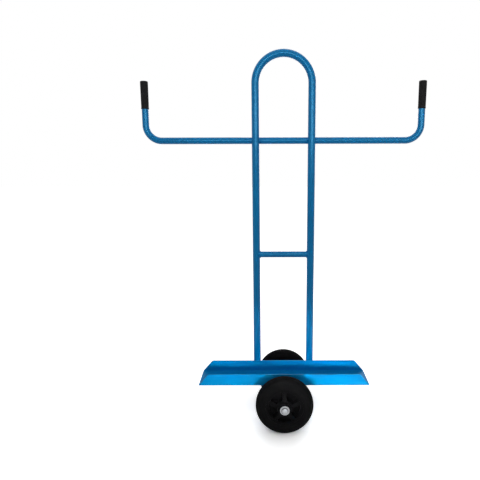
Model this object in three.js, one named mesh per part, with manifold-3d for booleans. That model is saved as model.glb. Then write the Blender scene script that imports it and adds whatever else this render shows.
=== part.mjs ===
// A two-wheeled hand cart that carries boards on edge. One wheel runs in front of a long tray
// and one behind it, and a tube hoop behind the tray carries the boards and a cross bar with grips.
// Millimetres. X runs along the tray, -Y is the front, +Z is up, and the origin is on the floor.
import * as THREE from 'three';
import { mergeVertices } from 'three/addons/utils/BufferGeometryUtils.js';
import Module from 'manifold-3d';

const wasm = await Module();
wasm.setup();

// Fits
const FIT = 0.3;
const ROLLER_PLAY = 0.15;
const CAGE_PLAY = 0.6;

// Tray, folded from sheet
const TRAY_LENGTH = 764;
const TRAY_DEPTH = 150;
const TRAY_HEIGHT = 54;
const TRAY_SHEET = 4;
const TRAY_BEND = 7;
const LIP_TOP_LENGTH = 676;
const LIP_CORNER = 6;

// Hoop, one bent tube behind the tray
const HOOP_TOP = 1644;
const HOOP_LEGS = 250;
const HOOP_TUBE_D = 33.7;
const HOOP_WALL = 2.6;
const LEG_TAIL = 34;
const PLUG_HEAD = 3;
const PLUG_STEM = 18;

// Cross tube between the legs
const CROSS_Z = 740;
const CROSS_TUBE_D = 28;
const CROSS_WALL = 2;

// Handle bar, one bent tube behind the legs, and its grips, whose tops are measured from the bar
const BAR_Z = 1258;
const BAR_TUBE_D = 30;
const BAR_WALL = 2;
const HANDLE_SPAN = 1240;
const HANDLE_BEND = 70;
const GRIP_TOP = 259;
const GRIP_LENGTH = 120;
const GRIP_TOP_WALL = 2;
const GRIP_LOW_WALL = 1.8;
const GRIP_END = 4;
const GRIP_ROUND = 5;

// Wheels
const WHEEL_D = 250;
const TYRE_W = 60;
const TYRE_SECTION = 44;
const TYRE_CLEARANCE = 8;
const TYRE_FULLNESS = 2.6;
const TYRE_WIDEST = 0.4;
const TYRE_TUCK = 3;
const RIM_INSET = 7.2;
const RIM_EDGE = 3.7;
const RIM_CHANNEL_DEPTH = 5;
const RIM_BAND = 6;
const RIM_DRAFT = 1;
const RIM_WEB = 8;
const HUB_LENGTH = 92;
const HUB_WALL = 11.2;
const HUB_SHOULDER = 10;
const HUB_TAPER = 2;
const SPOKES = 5;
const SPOKE_W = 16;
const POCKET_HUB_GAP = 7;
const POCKET_BAND_GAP = 2;

// Axle, its fixed tube, and what holds the wheels on
const AXLE_D = 20;
const AXLE_DROP = 49;
const AXLE_TUBE_WALL = 4.7;
const AXLE_END = 8.5;
const AXLE_CHAMFER = 1.5;
const WASHER_W = 9.2;
const WASHER_T = 2.7;
const CAP_BRIM_W = 8.5;
const CAP_SHEET = 1.2;
const CAP_CROWN = 4.9;
const CAP_RIM_W = 4.8;
const CAP_RIM_HEIGHT = 3.4;

// Roller bearing in each hub
const ROLLERS = 8;
const ROLLER_SPACE = 5;
const SLEEVE_WALL = 2.5;
const SLEEVE_INSET = 2;
const CAGE_INSET = 8;
const CAGE_END = 8;

// Plates that hang the axle tube under the tray
const PLATE_T = 6;
const PLATE_EYE = 14.5;
const FRONT_PLATE_W = 190;
const FRONT_PLATE_SIDE = 8;
const REAR_PLATE_MARGIN = 3;

// Parking stand, a folding bail of round bar under the tray
const STAND_BAR_D = 14;
const STAND_WIDTH = 156;
const STAND_BEND = 14;
const STAND_SETBACK = 45;
const STAND_PIVOT_DROP = 22;
const STAND_KICK = 10;
const STUB_OVERHANG = 7;
const FOOT_WALL = 3.7;
const FOOT_LENGTH = 36;
const LUG_T = 5;
const LUG_AHEAD = 15;
const LUG_BELOW = 16;
const LUG_GAP = 1;

// Facets
const TUBE_SIDES = 20;
const BAR_SIDES = 14;
const WHEEL_SIDES = 44;
const SMALL_SIDES = 24;
const ROLLER_SIDES = 10;
const CORNER_STEPS = 6;
const FOLD_STEPS = 5;
const ROUND_STEPS = 4;
const TREAD_STEPS = 12;
const BEND_STEP = Math.PI / 14;
const MERGE = 1e-3;

// Places worked out from the sizes above
const wheelRadius = WHEEL_D / 2;
const axleZ = wheelRadius;
const trayZ = axleZ + AXLE_DROP;
const trayHalf = TRAY_DEPTH / 2;
const hoopRadius = HOOP_TUBE_D / 2;
const legX = HOOP_LEGS / 2;
const legY = trayHalf + FIT + hoopRadius;
const legBottom = trayZ - LEG_TAIL;
const barRadius = BAR_TUBE_D / 2;
const barY = legY + hoopRadius + FIT + barRadius;
const gripTop = BAR_Z + GRIP_TOP;
const handleX = HANDLE_SPAN / 2;
const wheelY = trayHalf + FIT + HOOP_TUBE_D + TYRE_CLEARANCE + TYRE_W / 2;
const hubEnd = HUB_LENGTH / 2;
const axleRadius = AXLE_D / 2;
const axleBore = axleRadius + FIT;
const axleTubeRadius = axleBore + AXLE_TUBE_WALL;
const axleTubeHalf = wheelY - hubEnd - FIT - WASHER_T;
const washerOut = hubEnd + FIT + WASHER_T;
const raceRadius = axleRadius + ROLLER_SPACE;
const sleeveRadius = raceRadius + SLEEVE_WALL;
const sleeveHalf = hubEnd - SLEEVE_INSET;
const cageHalf = sleeveHalf - CAGE_INSET;
const rollerLength = (cageHalf - CAGE_END) * 2;
const rollerRadius = ROLLER_SPACE / 2 - ROLLER_PLAY;
const standX = STAND_WIDTH / 2;
const standY = trayHalf - STAND_SETBACK;
const standZ = trayZ - STAND_PIVOT_DROP;
const standRadius = STAND_BAR_D / 2;
const standFootY = standY + STAND_KICK;
const footRadius = standRadius + FIT + FOOT_WALL;
const lugInner = standX + STAND_BEND + LUG_GAP;

function material(color, roughness, metalness) {
  return new THREE.MeshStandardMaterial({ color, roughness, metalness });
}

const bluePaint = material(0x1187cf, 0.35, 0.1);
const zinc = material(0xb4b8bc, 0.35, 0.9);
const steel = material(0x8e9296, 0.3, 1);
const rubber = material(0x1b1c1e, 0.85, 0);
const gripRubber = material(0x1e1f21, 0.75, 0);
const blackPlastic = material(0x161718, 0.5, 0);
const cagePlastic = material(0xd9d5c8, 0.5, 0);

// Triangles of a geometry with shared corners merged and flat slivers dropped, facing out
function closed(geometry) {
  const bare = new THREE.BufferGeometry();
  const flat = geometry.index ? geometry.toNonIndexed() : geometry;
  bare.setAttribute('position', flat.getAttribute('position').clone());
  const merged = mergeVertices(bare, MERGE);
  const corners = merged.getAttribute('position');
  const index = merged.getIndex();
  const [a, b, c] = [new THREE.Vector3(), new THREE.Vector3(), new THREE.Vector3()];
  const kept = [];
  let volume = 0;
  for (let i = 0; i < index.count; i += 3) {
    const [p, q, r] = [index.getX(i), index.getX(i + 1), index.getX(i + 2)];
    if (p === q || q === r || r === p) continue;
    kept.push(p, q, r);
    a.fromBufferAttribute(corners, p);
    b.fromBufferAttribute(corners, q);
    c.fromBufferAttribute(corners, r);
    volume += a.dot(b.cross(c));
  }
  if (volume < 0) kept.reverse();
  merged.setIndex(kept);
  return merged;
}

function solidOf(geometry) {
  const body = closed(geometry);
  return new wasm.Manifold(new wasm.Mesh({
    numProp: 3,
    vertProperties: Float32Array.from(body.getAttribute('position').array),
    triVerts: Uint32Array.from(body.getIndex().array),
  }));
}

function cutFrom(geometry, cutters) {
  let solid = solidOf(geometry);
  for (const cutter of cutters) solid = solid.subtract(solidOf(cutter));
  const mesh = solid.getMesh();
  const result = new THREE.BufferGeometry();
  result.setAttribute('position', new THREE.BufferAttribute(Float32Array.from(mesh.vertProperties), 3));
  result.setIndex(Array.from(mesh.triVerts));
  return result;
}

// A path through given stations, sampled at the stations themselves
class StationPath extends THREE.Curve {
  constructor(stations) {
    super();
    this.stations = stations;
  }

  station(t) {
    return this.stations[Math.round(t * (this.stations.length - 1))];
  }

  getPoint(t) {
    return this.station(t).point.clone();
  }

  getPointAt(u) {
    return this.getPoint(u);
  }

  getTangentAt(u) {
    return this.station(u).along.clone();
  }
}

// Stations of a run through corner points, each inner corner rounded by an arc
function bentRun(corners, bend) {
  const points = corners.map((corner) => new THREE.Vector3(...corner));
  const last = points.length - 1;
  const stations = [{ point: points[0], along: points[1].clone().sub(points[0]).normalize() }];
  for (let i = 1; i < last; i += 1) {
    const before = points[i].clone().sub(points[i - 1]).normalize();
    const after = points[i + 1].clone().sub(points[i]).normalize();
    const turn = before.angleTo(after);
    const start = points[i].clone().addScaledVector(before, -bend * Math.tan(turn / 2));
    const inward = after.clone().addScaledVector(before, -after.dot(before)).normalize();
    const centre = start.clone().addScaledVector(inward, bend);
    const steps = Math.ceil(turn / BEND_STEP);
    for (let k = 0; k <= steps; k += 1) {
      const angle = (turn * k) / steps;
      stations.push({
        point: centre.clone().addScaledVector(before, bend * Math.sin(angle))
          .addScaledVector(inward, -bend * Math.cos(angle)),
        along: before.clone().multiplyScalar(Math.cos(angle)).addScaledVector(inward, Math.sin(angle)),
      });
    }
  }
  const end = points[last];
  stations.push({ point: end, along: end.clone().sub(points[last - 1]).normalize() });
  return stations;
}

function ring(outer, inner) {
  const shape = new THREE.Shape();
  shape.absarc(0, 0, outer, 0, Math.PI * 2, false);
  if (inner > 0) {
    const hole = new THREE.Path();
    hole.absarc(0, 0, inner, 0, Math.PI * 2, true);
    shape.holes.push(hole);
  }
  return shape;
}

function tubeAlong(stations, outer, inner, sides) {
  return new THREE.ExtrudeGeometry(ring(outer, inner), {
    steps: stations.length - 1,
    curveSegments: sides / 2,
    extrudePath: new StationPath(stations),
  });
}

// A body turned about the Y axis from corners given as [radius, place along Y]
function turned(corners, sides) {
  return new THREE.LatheGeometry(corners.map(([r, y]) => new THREE.Vector2(r, y)), sides);
}

function turnedRing(corners, sides) {
  return turned([...corners, corners[0]], sides);
}

function sleeve(outer, inner, from, to, sides) {
  return turnedRing([[inner, from], [outer, from], [outer, to], [inner, to]], sides);
}

// A plate cut to an outline in X and Z, its front face at y and its thickness behind it
function plateAt(shape, thickness, y, arcSteps) {
  const plate = new THREE.ExtrudeGeometry(shape, {
    depth: thickness, bevelEnabled: false, curveSegments: arcSteps / 2,
  });
  return plate.rotateX(Math.PI / 2).translate(0, y + thickness, 0);
}

const cart = new THREE.Group();

function add(group, name, geometry, look) {
  const mesh = new THREE.Mesh(closed(geometry), look);
  mesh.name = name;
  group.add(mesh);
  return mesh;
}

// Tray: a folded channel whose lips are cut back towards their tops at both ends
function trayGeometry() {
  const inner = TRAY_BEND - TRAY_SHEET;
  const section = new THREE.Shape();
  section.moveTo(-trayHalf, TRAY_HEIGHT);
  section.lineTo(-trayHalf, TRAY_BEND);
  section.absarc(-trayHalf + TRAY_BEND, TRAY_BEND, TRAY_BEND, Math.PI, Math.PI * 1.5, false);
  section.lineTo(trayHalf - TRAY_BEND, 0);
  section.absarc(trayHalf - TRAY_BEND, TRAY_BEND, TRAY_BEND, Math.PI * 1.5, Math.PI * 2, false);
  section.lineTo(trayHalf, TRAY_HEIGHT);
  section.lineTo(trayHalf - TRAY_SHEET, TRAY_HEIGHT);
  section.lineTo(trayHalf - TRAY_SHEET, TRAY_BEND);
  section.absarc(trayHalf - TRAY_BEND, TRAY_BEND, inner, 0, -Math.PI / 2, true);
  section.lineTo(-trayHalf + TRAY_BEND, TRAY_SHEET);
  section.absarc(-trayHalf + TRAY_BEND, TRAY_BEND, inner, -Math.PI / 2, -Math.PI, true);
  section.closePath();
  const channel = new THREE.ExtrudeGeometry(section, {
    depth: TRAY_LENGTH, bevelEnabled: false, curveSegments: FOLD_STEPS,
  });
  channel.rotateX(Math.PI / 2).rotateZ(Math.PI / 2).translate(-TRAY_LENGTH / 2, 0, 0);
  const half = TRAY_LENGTH / 2;
  const topHalf = LIP_TOP_LENGTH / 2;
  const rise = TRAY_HEIGHT - TRAY_SHEET;
  const slant = Math.hypot(half - topHalf, rise);
  const back = [(topHalf - half) / slant, rise / slant];
  const cutters = [-1, 1].map((side) => {
    const corner = new THREE.Shape();
    corner.moveTo(side * half, TRAY_SHEET);
    corner.lineTo(side * (topHalf - back[0] * LIP_CORNER), TRAY_HEIGHT - back[1] * LIP_CORNER);
    corner.quadraticCurveTo(side * topHalf, TRAY_HEIGHT, side * (topHalf - LIP_CORNER), TRAY_HEIGHT);
    corner.lineTo(side * (topHalf - LIP_CORNER), TRAY_HEIGHT * 2);
    corner.lineTo(side * (half + TRAY_HEIGHT), TRAY_HEIGHT * 2);
    corner.lineTo(side * (half + TRAY_HEIGHT), TRAY_SHEET);
    corner.closePath();
    return plateAt(corner, TRAY_DEPTH * 2, -TRAY_DEPTH, CORNER_STEPS);
  });
  return cutFrom(channel, cutters).translate(0, 0, trayZ);
}

add(cart, 'tray', trayGeometry(), bluePaint);

// Hoop, leg plugs and cross tube
const hoopStations = bentRun([
  [-legX, legY, legBottom],
  [-legX, legY, HOOP_TOP - hoopRadius],
  [legX, legY, HOOP_TOP - hoopRadius],
  [legX, legY, legBottom],
], legX);
add(cart, 'hoop_frame', tubeAlong(hoopStations, hoopRadius, hoopRadius - HOOP_WALL, TUBE_SIDES), bluePaint);

const plugStemRadius = hoopRadius - HOOP_WALL - FIT;
for (const [side, x] of [['left', -legX], ['right', legX]]) {
  const plug = turned([
    [0, -PLUG_HEAD],
    [hoopRadius, -PLUG_HEAD],
    [hoopRadius, 0],
    [plugStemRadius, 0],
    [plugStemRadius, PLUG_STEM],
    [0, PLUG_STEM],
  ], TUBE_SIDES);
  add(cart, `${side}_leg_plug`, plug.rotateX(Math.PI / 2).translate(x, legY, legBottom), blackPlastic);
}

const crossRadius = CROSS_TUBE_D / 2;
const crossBlank = sleeve(crossRadius, crossRadius - CROSS_WALL, -legX, legX, TUBE_SIDES)
  .rotateZ(Math.PI / 2).translate(0, legY, CROSS_Z);
const legSeats = [-legX, legX].map((x) => (
  new THREE.CylinderGeometry(hoopRadius + FIT, hoopRadius + FIT, CROSS_TUBE_D * 2, TUBE_SIDES * 2)
    .rotateX(Math.PI / 2).translate(x, legY, CROSS_Z)
));
add(cart, 'cross_tube', cutFrom(crossBlank, legSeats), bluePaint);

// Handle bar with a grip on each upturned end
const barEnd = gripTop - GRIP_END - FIT;
const barStations = bentRun([
  [-handleX, barY, barEnd],
  [-handleX, barY, BAR_Z],
  [handleX, barY, BAR_Z],
  [handleX, barY, barEnd],
], HANDLE_BEND);
add(cart, 'handle_bar', tubeAlong(barStations, barRadius, barRadius - BAR_WALL, TUBE_SIDES), bluePaint);

function gripGeometry() {
  const bore = barRadius + FIT;
  const top = bore + GRIP_TOP_WALL;
  const low = bore + GRIP_LOW_WALL;
  const corners = [[0, GRIP_LENGTH - GRIP_END], [bore, GRIP_LENGTH - GRIP_END], [bore, 0], [low, 0]];
  for (let k = 0; k <= ROUND_STEPS; k += 1) {
    const angle = (Math.PI / 2) * (k / ROUND_STEPS);
    corners.push([
      top - GRIP_ROUND + GRIP_ROUND * Math.cos(angle),
      GRIP_LENGTH - GRIP_ROUND + GRIP_ROUND * Math.sin(angle),
    ]);
  }
  corners.push([0, GRIP_LENGTH]);
  return turned(corners, TUBE_SIDES).rotateX(Math.PI / 2);
}

for (const [side, x] of [['left', -handleX], ['right', handleX]]) {
  add(cart, `${side}_grip`, gripGeometry().translate(x, barY, gripTop - GRIP_LENGTH), gripRubber);
}

// Axle plates, axle tube and axle
const eyeRadius = axleTubeRadius + PLATE_EYE;

function axlePlate(width, side) {
  const half = width / 2;
  const low = AXLE_DROP - side;
  const tangent = Math.atan2(low, half) - Math.acos(eyeRadius / Math.hypot(half, low));
  const shape = new THREE.Shape();
  shape.moveTo(half, low);
  shape.lineTo(half, AXLE_DROP);
  shape.lineTo(-half, AXLE_DROP);
  shape.lineTo(-half, low);
  shape.absarc(0, 0, eyeRadius, Math.PI - tangent, Math.PI * 2 + tangent, false);
  shape.closePath();
  const hole = new THREE.Path();
  hole.absarc(0, 0, axleTubeRadius + FIT, 0, Math.PI * 2, true);
  shape.holes.push(hole);
  return shape;
}

const rearPlateWidth = HOOP_LEGS + HOOP_TUBE_D + REAR_PLATE_MARGIN * 2;
const frontPlate = plateAt(axlePlate(FRONT_PLATE_W, FRONT_PLATE_SIDE), PLATE_T, -trayHalf, SMALL_SIDES);
const rearPlate = plateAt(axlePlate(rearPlateWidth, LEG_TAIL), PLATE_T, trayHalf - PLATE_T, SMALL_SIDES);
add(cart, 'front_axle_plate', frontPlate.translate(0, 0, axleZ), bluePaint);
add(cart, 'rear_axle_plate', rearPlate.translate(0, 0, axleZ), bluePaint);

const axleTube = sleeve(axleTubeRadius, axleBore, -axleTubeHalf, axleTubeHalf, SMALL_SIDES);
add(cart, 'axle_tube', axleTube.translate(0, 0, axleZ), bluePaint);

const axleHalf = wheelY + washerOut + AXLE_END;
const axleBar = turned([
  [0, -axleHalf],
  [axleRadius - AXLE_CHAMFER, -axleHalf],
  [axleRadius, -axleHalf + AXLE_CHAMFER],
  [axleRadius, axleHalf - AXLE_CHAMFER],
  [axleRadius - AXLE_CHAMFER, axleHalf],
  [0, axleHalf],
], SMALL_SIDES);
add(cart, 'axle', axleBar.translate(0, 0, axleZ), steel);

// Parking stand: the bail's stubs turn in two lugs, and each lug's rear flange stops it
const stubEnd = lugInner + LUG_T + STUB_OVERHANG;
const standStations = bentRun([
  [-stubEnd, standY, standZ],
  [-standX, standY, standZ],
  [-standX, standFootY, footRadius],
  [standX, standFootY, footRadius],
  [standX, standY, standZ],
  [stubEnd, standY, standZ],
], STAND_BEND);
add(cart, 'parking_stand', tubeAlong(standStations, standRadius, 0, BAR_SIDES), bluePaint);

const footMiddle = standX - STAND_BEND - FIT - FOOT_LENGTH / 2;
for (const [side, x] of [['left', -footMiddle], ['right', footMiddle]]) {
  const foot = sleeve(footRadius, standRadius + FIT, -FOOT_LENGTH / 2, FOOT_LENGTH / 2, TUBE_SIDES);
  add(cart, `${side}_stand_foot`, foot.rotateZ(Math.PI / 2).translate(x, standFootY, footRadius), gripRubber);
}

function lugGeometry(side) {
  const lean = STAND_KICK / (standZ - footRadius);
  const stopY = standY + standRadius * Math.hypot(1, lean) + lean * LUG_BELOW + FIT;
  const stopX = standX - standRadius;
  const front = standY - LUG_AHEAD;
  const plan = new THREE.Shape();
  plan.moveTo(lugInner, front);
  plan.lineTo(lugInner + LUG_T, front);
  plan.lineTo(lugInner + LUG_T, stopY + LUG_T);
  plan.lineTo(stopX, stopY + LUG_T);
  plan.lineTo(stopX, stopY);
  plan.lineTo(lugInner, stopY);
  plan.closePath();
  const height = STAND_PIVOT_DROP + LUG_BELOW;
  const angle = new THREE.ExtrudeGeometry(plan, { depth: height, bevelEnabled: false });
  angle.translate(0, 0, trayZ - height);
  const hole = new THREE.CylinderGeometry(standRadius + FIT, standRadius + FIT, LUG_T * 4, BAR_SIDES * 2);
  hole.rotateZ(Math.PI / 2).translate(lugInner + LUG_T / 2, standY, standZ);
  return cutFrom(angle, [hole]).scale(side, 1, 1);
}

add(cart, 'left_stand_lug', lugGeometry(-1), bluePaint);
add(cart, 'right_stand_lug', lugGeometry(1), bluePaint);

// Wheel, with its outer side towards -Y and the axle along Y through the origin
const rimRadius = wheelRadius - TYRE_SECTION;
const channelRadius = rimRadius - RIM_CHANNEL_DEPTH;
const channelHalf = TYRE_W / 2 - RIM_INSET;
const rimHalf = channelHalf + RIM_EDGE;
const bandRadius = channelRadius - RIM_BAND;
const hubBore = sleeveRadius + FIT;
const hubRadius = hubBore + HUB_WALL;

function rimGeometry() {
  const side = (sign) => [
    [hubBore, sign * hubEnd],
    [hubRadius, sign * hubEnd],
    [hubRadius + HUB_TAPER, sign * (hubEnd - HUB_SHOULDER)],
    [bandRadius, sign * channelHalf],
    [bandRadius + RIM_DRAFT, sign * rimHalf],
    [rimRadius, sign * rimHalf],
    [rimRadius, sign * channelHalf],
    [channelRadius, sign * channelHalf],
  ];
  const blank = turnedRing([...side(-1), ...side(1).reverse()], WHEEL_SIDES);
  const inner = hubRadius + POCKET_HUB_GAP;
  const outer = bandRadius - POCKET_BAND_GAP;
  const pitch = (Math.PI * 2) / SPOKES;
  const innerHalf = pitch / 2 - Math.asin(SPOKE_W / 2 / inner);
  const outerHalf = pitch / 2 - Math.asin(SPOKE_W / 2 / outer);
  const cutters = [];
  for (let k = 0; k < SPOKES; k += 1) {
    const middle = Math.PI / 2 + pitch * (k + 0.5);
    const pocket = new THREE.Shape();
    pocket.absarc(0, 0, outer, middle - outerHalf, middle + outerHalf, false);
    pocket.absarc(0, 0, inner, middle + innerHalf, middle - innerHalf, true);
    pocket.closePath();
    cutters.push(plateAt(pocket, HUB_LENGTH, RIM_WEB / 2, CORNER_STEPS));
    cutters.push(plateAt(pocket, HUB_LENGTH, -RIM_WEB / 2 - HUB_LENGTH, CORNER_STEPS));
  }
  return cutFrom(blank, cutters);
}

function tyreGeometry() {
  const seat = channelRadius + FIT;
  const seatHalf = channelHalf - FIT;
  const edge = rimRadius + FIT;
  const edgeHalf = TYRE_W / 2 - TYRE_TUCK;
  const widest = edge + (wheelRadius - edge) * TYRE_WIDEST;
  const corners = [[seat, seatHalf], [seat, -seatHalf], [edge, -seatHalf], [edge, -edgeHalf]];
  for (let k = 0; k <= TREAD_STEPS; k += 1) {
    const angle = Math.PI * (k / TREAD_STEPS - 0.5);
    const across = Math.abs(Math.sin(angle)) ** (2 / TYRE_FULLNESS) * Math.sign(angle);
    const out = Math.cos(angle) ** (2 / TYRE_FULLNESS);
    corners.push([widest + (wheelRadius - widest) * out, (TYRE_W / 2) * across]);
  }
  corners.push([edge, edgeHalf], [edge, seatHalf]);
  return turnedRing(corners, WHEEL_SIDES);
}

function cageGeometry() {
  const inner = axleRadius + CAGE_PLAY;
  const outer = raceRadius - CAGE_PLAY;
  const slot = (rollerRadius + FIT) * 2;
  const slots = [];
  for (let k = 0; k < ROLLERS; k += 1) {
    const cutter = new THREE.BoxGeometry(slot, rollerLength + FIT * 2, raceRadius);
    slots.push(cutter.translate(0, 0, raceRadius).rotateY((Math.PI * 2 * k) / ROLLERS));
  }
  return cutFrom(sleeve(outer, inner, -cageHalf, cageHalf, ROLLERS * 4), slots);
}

function capGeometry() {
  const dome = axleBore + CAP_SHEET;
  const brim = dome + CAP_BRIM_W;
  const shoulder = AXLE_END - AXLE_CHAMFER;
  const quarter = (radius, rise) => Array.from({ length: ROUND_STEPS + 1 }, (_, k) => {
    const angle = (Math.PI / 2) * (k / ROUND_STEPS);
    return [radius * Math.cos(angle), shoulder + rise * Math.sin(angle)];
  });
  const corners = quarter(axleBore, CAP_CROWN - CAP_SHEET).reverse();
  corners.push([axleBore, 0], [brim, 0], [brim, CAP_RIM_HEIGHT - CAP_SHEET]);
  corners.push([brim - CAP_SHEET, CAP_RIM_HEIGHT], [brim - CAP_RIM_W, CAP_RIM_HEIGHT]);
  corners.push([brim - CAP_RIM_W - CAP_SHEET, CAP_SHEET], [dome, CAP_SHEET]);
  corners.push(...quarter(dome, CAP_CROWN));
  return turned(corners, SMALL_SIDES).rotateX(Math.PI);
}

function addWheel(name, y, turn) {
  const wheel = new THREE.Group();
  wheel.position.set(0, y, axleZ);
  wheel.rotation.z = turn;
  cart.add(wheel);
  add(wheel, `${name}_tyre`, tyreGeometry(), rubber);
  add(wheel, `${name}_rim`, rimGeometry(), blackPlastic);
  const liner = sleeve(sleeveRadius, raceRadius, -sleeveHalf, sleeveHalf, WHEEL_SIDES);
  add(wheel, `${name}_hub_sleeve`, liner, steel);
  add(wheel, `${name}_roller_cage`, cageGeometry(), cagePlastic);
  for (let k = 0; k < ROLLERS; k += 1) {
    const roller = new THREE.CylinderGeometry(rollerRadius, rollerRadius, rollerLength, ROLLER_SIDES);
    roller.translate(0, 0, axleRadius + ROLLER_SPACE / 2).rotateY((Math.PI * 2 * k) / ROLLERS);
    add(wheel, `${name}_roller_${k + 1}`, roller, steel);
  }
  const washer = (from) => sleeve(axleBore + WASHER_W, axleBore, from, from + WASHER_T, SMALL_SIDES);
  add(wheel, `${name}_inner_washer`, washer(hubEnd + FIT), blackPlastic);
  add(wheel, `${name}_outer_washer`, washer(-washerOut), blackPlastic);
  add(wheel, `${name}_axle_cap`, capGeometry().translate(0, -washerOut, 0), zinc);
}

addWheel('front', -wheelY, 0);
addWheel('rear', wheelY, Math.PI);

export default cart;
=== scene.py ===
"""Looks of a two-wheeled sheet goods cart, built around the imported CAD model.

Metres, +Z up, the cart's front towards -Y. Pieces that stand for a CAD node sit where the node is.
"""

import math

import bmesh
import bpy
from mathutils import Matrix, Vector


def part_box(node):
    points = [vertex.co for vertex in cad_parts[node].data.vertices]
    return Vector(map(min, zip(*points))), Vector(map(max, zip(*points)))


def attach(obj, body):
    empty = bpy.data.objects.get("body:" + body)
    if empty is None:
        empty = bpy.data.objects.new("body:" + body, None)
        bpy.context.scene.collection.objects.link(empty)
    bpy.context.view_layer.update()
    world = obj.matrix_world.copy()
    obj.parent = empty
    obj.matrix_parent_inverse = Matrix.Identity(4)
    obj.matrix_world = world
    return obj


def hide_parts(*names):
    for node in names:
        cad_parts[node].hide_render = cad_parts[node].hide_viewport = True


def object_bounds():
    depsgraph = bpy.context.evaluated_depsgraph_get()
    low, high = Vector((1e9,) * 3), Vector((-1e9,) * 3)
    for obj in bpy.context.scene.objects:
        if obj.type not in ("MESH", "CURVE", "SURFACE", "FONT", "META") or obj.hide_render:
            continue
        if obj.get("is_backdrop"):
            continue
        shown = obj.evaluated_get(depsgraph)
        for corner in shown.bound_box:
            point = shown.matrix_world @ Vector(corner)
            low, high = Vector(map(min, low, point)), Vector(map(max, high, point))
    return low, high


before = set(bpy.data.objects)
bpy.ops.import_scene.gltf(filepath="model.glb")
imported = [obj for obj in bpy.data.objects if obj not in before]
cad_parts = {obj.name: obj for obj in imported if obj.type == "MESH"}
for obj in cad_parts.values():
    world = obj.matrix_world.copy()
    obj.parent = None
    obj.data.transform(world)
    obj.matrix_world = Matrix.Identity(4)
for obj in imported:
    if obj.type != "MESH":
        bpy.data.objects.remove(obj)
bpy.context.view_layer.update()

MM = 0.001
TAU = math.tau
X_AXIS = Vector((1, 0, 0))
Y_AXIS = Vector((0, 1, 0))
Z_AXIS = Vector((0, 0, 1))

# Camera, fitted to the photograph's 480 by 480 frame
LENS_MM = 33.15
SENSOR_MM = 36.0
CAMERA_PLACE = (-0.048, -1.924, 1.122)
CAMERA_PITCH = math.radians(8.87)
CAMERA_ROLL = math.radians(0.135)
CAMERA_SHIFT = -0.0685

# Sizes of the solids, in metres
HOOP_R = 16.85 * MM
BAR_R = 15 * MM
CROSS_R = 14 * MM
HOOP_BEND = 125 * MM
HANDLE_BEND = 70 * MM
STAND_R = 7 * MM
STAND_BEND = 14 * MM
STAND_LEG_X = 78 * MM
TRAY_SHEET = 4 * MM
TRAY_BEND = 7 * MM
LIP_TOP_HALF = 338 * MM
LIP_CORNER = 6 * MM
FIT = 0.3 * MM

# Roundings of the edges of cut sheet and bar
TRAY_EDGE = 0.9 * MM
STAND_EDGE = 0.8 * MM
PLATE_EDGE = 0.7 * MM

# Smoothness of the pieces
TUBE_SIDES = 48
STAND_SIDES = 32
BEND_STEP = math.radians(3)
WHEEL_SIDES = 240
SMALL_SIDES = 96
BEAD_SIDES = 10
BEAD_STEP = 0.5 * MM
LIP_CORNER_STEPS = 6
LIP_STEPS = 5
FOLD_STEPS = 10

# Points closer than this are one, lengths under this are none, and a fillet's largest share of a side
MERGE = 1e-7
TINY = 1e-9
FILLET_SHARE = 0.49

# Weld beads: length and rise of a ripple, rise and number of slower swells, and the thin tips
BEAD_RIPPLE = 2.3 * MM
RIPPLE_RISE = 0.09
SWELL_RISE = 0.05
SWELLS = 5
TIP_SHARE = 0.45
TIP_STEPS = 6


def srgb(red, green, blue):
    """Linear colour of an 8-bit sRGB one."""
    return tuple(
        c / 12.92 if c <= 0.04045 else ((c + 0.055) / 1.055) ** 2.4
        for c in (red / 255, green / 255, blue / 255)
    ) + (1.0,)


# Meshes


def piece_of(name, verts, faces, material, body, slot, stands_for=(), crease=38.0):
    """A new piece from points and faces, riding on a body."""
    mesh = bpy.data.meshes.new(name)
    mesh.from_pydata([tuple(v) for v in verts], [], faces)
    work = bmesh.new()
    work.from_mesh(mesh)
    bmesh.ops.remove_doubles(work, verts=work.verts, dist=MERGE)
    bmesh.ops.recalc_face_normals(work, faces=work.faces)
    work.to_mesh(mesh)
    work.free()
    mesh.shade_smooth()
    mesh.set_sharp_from_angle(angle=math.radians(crease))
    mesh.materials.append(material)
    piece = bpy.data.objects.new(name, mesh)
    bpy.context.scene.collection.objects.link(piece)
    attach(piece, body)
    if stands_for:
        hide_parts(*stands_for)
    return piece


def soften(piece, width, segments=3, angle=40.0):
    """Rounds a piece's sharp edges."""
    bevel = piece.modifiers.new("edges", "BEVEL")
    bevel.width = width
    bevel.segments = segments
    bevel.limit_method = "ANGLE"
    bevel.angle_limit = math.radians(angle)
    weighted = piece.modifiers.new("normals", "WEIGHTED_NORMAL")
    weighted.keep_sharp = False


def joined(parts):
    """Several (verts, faces) as one."""
    verts, faces = [], []
    for more_verts, more_faces in parts:
        first = len(verts)
        verts.extend(more_verts)
        faces.extend(tuple(first + i for i in face) for face in more_faces)
    return verts, faces


def bent(corners, bend):
    """Points of a run through corners, each inner one rounded by an arc."""
    corners = [Vector(c) for c in corners]
    points = [corners[0]]
    for before, corner, after in zip(corners, corners[1:], corners[2:]):
        into = (corner - before).normalized()
        out = (after - corner).normalized()
        turn = into.angle(out)
        start = corner - into * bend * math.tan(turn / 2)
        inward = (out - into * out.dot(into)).normalized()
        steps = math.ceil(turn / BEND_STEP)
        for k in range(steps + 1):
            angle = turn * k / steps
            points.append(start + into * bend * math.sin(angle) + inward * bend * (1 - math.cos(angle)))
    points.append(corners[-1])
    return points


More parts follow.
